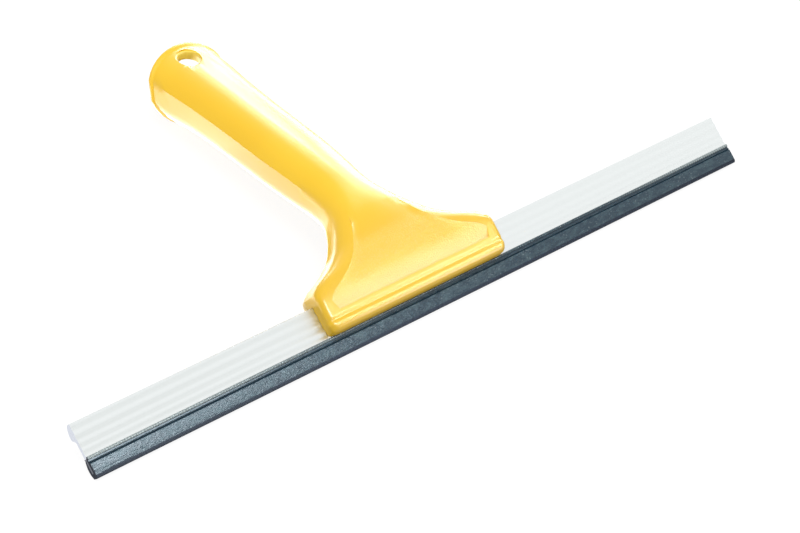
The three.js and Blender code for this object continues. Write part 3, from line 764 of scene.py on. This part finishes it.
class SQUEEGEE_OT_rubber(bpy.types.Operator):
    """Add the rubber strip and the ribs of its bead"""

    bl_idname = "squeegee.rubber"
    bl_label = "Rubber"

    def execute(self, context):
        settings = context.scene.squeegee_rubber
        material = rubber(settings)
        piece = merged_copy("rubber_strip", "rubber_edge")
        seat(piece, "rubber_strip", "rubber", material)
        ribs = bead_ribs(settings)
        ribs.data.materials.append(rib_rubber(settings))
        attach(ribs, "rubber")
        return {"FINISHED"}


class SQUEEGEE_OT_screws(bpy.types.Operator):
    """Add the three screws of the clamp"""

    bl_idname = "squeegee.screws"
    bl_label = "Screws"

    def execute(self, context):
        material = zinc(context.scene.squeegee_screws)
        for place in ("left", "right", "neck"):
            piece = merged_copy(f"screw_{place}", f"pan_screw_{place}")
            seat(piece, f"screw_{place}", "handle", material)
        return {"FINISHED"}


# Camera, lamps and table

CAMERA_PLACE = Vector((-0.61112, -0.58392, 0.69152))
CAMERA_AZIMUTH = math.radians(-49.166)
CAMERA_ELEVATION = math.radians(40.525)
CAMERA_ROLL = math.radians(11.382)
CAMERA_LENS = 117.0
CAMERA_CLIP_START = 0.01

# Name, place, size and radiance of the soft boxes that light every piece
BROAD_LAMPS = (
    ("key_softbox", (-0.1, -0.1, 1.5), 0.9, 4.2),
    ("fill_softbox", (0.1, -1.0, 0.45), 0.9, 0.2),
)
# Name, azimuth, elevation, size and radiance
FAR_LAMPS = (
    ("right_softbox", 10, 32, 0.28, 17.0),
    ("rear_right_softbox_low", 30, 6, 0.28, 5.0),
    ("rear_right_softbox", 30, 18, 0.28, 13.0),
    ("rear_right_softbox_high", 30, 32, 0.28, 8.0),
    ("rear_softbox_low", 50, 6, 0.28, 26.0),
    ("rear_softbox", 50, 18, 0.28, 4.0),
    ("rear_softbox_high", 50, 32, 0.28, 20.0),
    ("top_softbox", 40, 47, 0.32, 3.5),
    ("back_softbox", 70, 20, 0.28, 16.0),
    ("front_right_softbox", -35, 28, 0.28, 3.5),
    ("front_softbox", -62, 45, 0.28, 8.0),
    ("corner_softbox", -91, 50, 0.28, 57.0),
    ("lip_softbox", -54, 5, 0.28, 14.0),
)
FAR_AIM = Vector((0, 0, 0.02))
FAR_REACH = 1.2
# Name, two corners and radiance
CARDS = (
    ("left_card_low", (-0.12, -0.08), (-0.015, -0.02), 1.5),
    ("left_card_middle", (-0.12, -0.02), (-0.015, 0.04), 5.0),
    ("left_card_high", (-0.12, 0.04), (-0.015, 0.14), 6.5),
    ("left_card_far", (-0.45, -0.10), (-0.12, 0.30), 8.5),
    ("right_card", (0.15, 0.0), (0.6, 0.5), 13.0),
)
CARD_HEIGHT = 0.001
# Where a piece mirrors a ray, the ray's direction from there, and how far along it its lamps are
PANEL_RAY = ((0.03, -0.06, 0.01), (0.58, -0.43, 0.695), 0.35)
STRIP_RAY = ((-0.14, -0.08, 0.01), (0.46, -0.466, 0.757), 0.3)
# Aside, above and radiance
PANEL_LAMPS = (
    (0.0, 0.0, 2.7),
    (0.1, 0.0, 5.0),
    (0.0, -0.1, 15.0),
    (0.1, -0.1, 15.0),
    (0.2, 0.0, 20.0),
)
STRIP_LAMPS = (
    (0.0, 0.0, 12.0),
    (0.1, 0.0, 18.0),
    (0.0, 0.1, 11.0),
    (0.0, -0.1, 4.0),
    (0.1, 0.1, 2.5),
)
STRIP_COLOUR = (0.84, 0.95, 1.0)
NEAR_SIZE = 0.1

# The table's own grey, the grey that its shadows fall on, and its glow
TABLE_GREY = 0.4
SHADOW_GREY = 0.14
TABLE_GLOW = 0.91
# How far the table lies below the squeegee, so that their faces share no plane
TABLE_DROP = 0.0001


def camera_matrix():
    """Gives the camera's place and turn: level first, then rolled about its own axis."""
    around = Matrix.Rotation(CAMERA_AZIMUTH, 4, "Z")
    level = around @ Matrix.Rotation(math.pi / 2 - CAMERA_ELEVATION, 4, "X")
    return Matrix.Translation(CAMERA_PLACE) @ level @ Matrix.Rotation(CAMERA_ROLL, 4, "Z")


def add_camera():
    """Adds the camera at the photograph's viewing angle."""
    data = bpy.data.cameras.new("camera")
    data.lens = CAMERA_LENS
    data.clip_start = CAMERA_CLIP_START
    camera = linked_object("camera", data)
    camera.matrix_world = camera_matrix()
    bpy.context.scene.camera = camera


def add_lamp(name, place, aim, size, radiance, lit_pieces=None, colour=(1, 1, 1)):
    """Adds a soft box that is turned towards a point.

    A lamp with lit pieces shows in the gloss of those pieces and does nothing else. One without
    lights every piece and shows in no gloss.
    """
    data = bpy.data.lights.new(name, "AREA")
    data.shape = "RECTANGLE"
    data.size, data.size_y = size
    data.energy = radiance * math.pi * size[0] * size[1]
    data.color = colour
    lamp = linked_object(name, data)
    away = (Vector(place) - Vector(aim)).normalized()
    turn = away.to_track_quat("Z", "Y").to_matrix().to_4x4()
    lamp.matrix_world = Matrix.Translation(place) @ turn
    lamp.visible_camera = False
    if lit_pieces is None:
        lamp.visible_glossy = False
    else:
        lamp.visible_diffuse = False
        lamp.light_linking.receiver_collection = lit_pieces


def add_broad_lamps():
    """Adds the soft boxes that light every piece."""
    for name, place, size, radiance in BROAD_LAMPS:
        add_lamp(name, place, (0, 0, 0), (size, size), radiance)


def add_far_lamps(lit_pieces):
    """Adds the ring of soft boxes round the squeegee that its gloss shows."""
    for name, azimuth, elevation, size, radiance in FAR_LAMPS:
        around = Matrix.Rotation(math.radians(azimuth), 3, "Z")
        turn = around @ Matrix.Rotation(-math.radians(elevation), 3, "Y")
        place = FAR_AIM + turn @ Vector((FAR_REACH, 0, 0))
        add_lamp(name, place, FAR_AIM, (size, size), radiance, lit_pieces)


def add_cards(lit_pieces):
    """Adds the white cards on the table that the gloss of the handle's flanks shows."""
    for name, low, high, radiance in CARDS:
        middle = ((low[0] + high[0]) / 2, (low[1] + high[1]) / 2)
        size = (high[0] - low[0], high[1] - low[1])
        add_lamp(name, (*middle, CARD_HEIGHT), (*middle, 1), size, radiance, lit_pieces)


def add_near_lamps(name, ray, lamps, lit_pieces, colour=(1, 1, 1)):
    """Adds small soft boxes in a plane across a mirrored ray, each so far aside and above it."""
    start, direction, reach = ray
    start, towards = Vector(start), Vector(direction).normalized()
    side = towards.cross(Vector((0, 0, 1))).normalized()
    above = side.cross(towards)
    size = (NEAR_SIZE, NEAR_SIZE)
    for number, (aside, up, radiance) in enumerate(lamps, 1):
        place = start + towards * reach + side * aside + above * up
        add_lamp(f"{name}_{number}", place, start, size, radiance, lit_pieces, colour)


def piece_group(name, piece_names):
    """Groups pieces that a lamp is meant for."""
    group = bpy.data.collections.new(name)
    for piece_name in piece_names:
        group.objects.link(bpy.data.objects[piece_name])
    return group


def ray_share(material, first, *others):
    """Gives the socket that is one for the kinds of ray named, and zero for all others."""
    path = add_node(material, "ShaderNodeLightPath")
    share = path.outputs[first]
    for kind in others:
        share = greatest(material, share, path.outputs[kind])
    return share


def add_world(level):
    """Adds a plain surround that the camera and mirrors see as white."""
    world = bpy.data.worlds.new("surround")
    bpy.context.scene.world = world
    world.use_nodes = True
    seen = ray_share(world, "Is Camera Ray", "Is Glossy Ray", "Is Transmission Ray")
    strength = remap(world, seen, 0, 1, level, 1.0)
    background = world.node_tree.nodes["Background"]
    feed(world, background, {"Color": (1, 1, 1, 1), "Strength": strength})


def grey_diffuse(material, grey):
    """Adds a matt grey shader and gives its socket."""
    return add_node(material, "ShaderNodeBsdfDiffuse", {"Color": (grey, grey, grey, 1)}).outputs[0]


def table_material():
    """White table that the camera and mirrors see as the white background, with its shadow."""
    material = bpy.data.materials.new("table")
    material.use_nodes = True
    material.node_tree.nodes.clear()
    plain = grey_diffuse(material, TABLE_GREY)
    shaded = grey_diffuse(material, SHADOW_GREY)
    glow = add_node(material, "ShaderNodeEmission", {"Color": (1, 1, 1, 1), "Strength": TABLE_GLOW})
    white = add_node(material, "ShaderNodeAddShader", {0: shaded, 1: glow.outputs[0]}).outputs[0]
    seen = ray_share(material, "Is Camera Ray", "Is Glossy Ray")
    mix = add_node(material, "ShaderNodeMixShader", {0: seen, 1: plain, 2: white}).outputs[0]
    add_node(material, "ShaderNodeOutputMaterial", {"Surface": mix})
    return material


def add_table(size):
    """Adds the table that the squeegee lies on."""
    mesh = bpy.data.meshes.new("table")
    shape = bmesh.new()
    bmesh.ops.create_grid(shape, x_segments=1, y_segments=1, size=size / 2)
    shape.to_mesh(mesh)
    shape.free()
    mesh.materials.append(table_material())
    table = linked_object("table", mesh)
    table.location.z = -TABLE_DROP


class SqueegeeStageSettings(bpy.types.PropertyGroup):
    """The table and the light."""

    table_size: FloatProperty(
        name="Table size", description="Length of the square table", default=8.0, unit="LENGTH"
    )
    surround: FloatProperty(
        name="Surround", description="Light from all round", default=0.66, min=0
    )


class SQUEEGEE_OT_stage(bpy.types.Operator):
    """Add the table, the lamps and the camera"""

    bl_idname = "squeegee.stage"
    bl_label = "Stage"

    def execute(self, context):
        settings = context.scene.squeegee_stage
        add_camera()
        add_world(settings.surround)
        add_table(settings.table_size)
        plastic = piece_group("plastic_pieces", ("handle_body_moulding", "rear_clamp_moulding"))
        dark = piece_group("rubber_pieces", ("rubber_edge", "bead_ribs"))
        add_broad_lamps()
        add_far_lamps(plastic)
        add_cards(plastic)
        add_near_lamps("panel_softbox", PANEL_RAY, PANEL_LAMPS, plastic)
        add_near_lamps("strip_softbox", STRIP_RAY, STRIP_LAMPS, dark, STRIP_COLOUR)
        return {"FINISHED"}


class SQUEEGEE_PT_panel(bpy.types.Panel):
    """Lists the pieces of the squeegee"""

    bl_idname = "SQUEEGEE_PT_panel"
    bl_label = "Squeegee"
    bl_space_type = "VIEW_3D"
    bl_region_type = "UI"
    bl_category = "Squeegee"

    def draw(self, context):
        for operator in piece_operators:
            self.layout.operator(operator.bl_idname)


piece_operators = (
    SQUEEGEE_OT_handle,
    SQUEEGEE_OT_blade,
    SQUEEGEE_OT_rubber,
    SQUEEGEE_OT_screws,
    SQUEEGEE_OT_stage,
)

scene_settings = {
    "squeegee_handle": SqueegeeHandleSettings,
    "squeegee_blade": SqueegeeBladeSettings,
    "squeegee_rubber": SqueegeeRubberSettings,
    "squeegee_screws": SqueegeeScrewSettings,
    "squeegee_stage": SqueegeeStageSettings,
}


def register():
    """Registers the settings, the operators and the panel."""
    for name, group in scene_settings.items():
        bpy.utils.register_class(group)
        setattr(bpy.types.Scene, name, PointerProperty(type=group))
    for operator in piece_operators:
        bpy.utils.register_class(operator)
    bpy.utils.register_class(SQUEEGEE_PT_panel)


def unregister():
    """Takes the panel, the operators and the settings away again."""
    bpy.utils.unregister_class(SQUEEGEE_PT_panel)
    for operator in reversed(piece_operators):
        bpy.utils.unregister_class(operator)
    for name, group in reversed(scene_settings.items()):
        delattr(bpy.types.Scene, name)
        bpy.utils.unregister_class(group)


def main():
    """Builds every piece and the stage."""
    register()
    bpy.ops.squeegee.handle()
    bpy.ops.squeegee.blade()
    bpy.ops.squeegee.rubber()
    bpy.ops.squeegee.screws()
    bpy.ops.squeegee.stage()
    bpy.context.scene.view_settings.view_transform = "Standard"


if __name__ == "__main__":
    main()
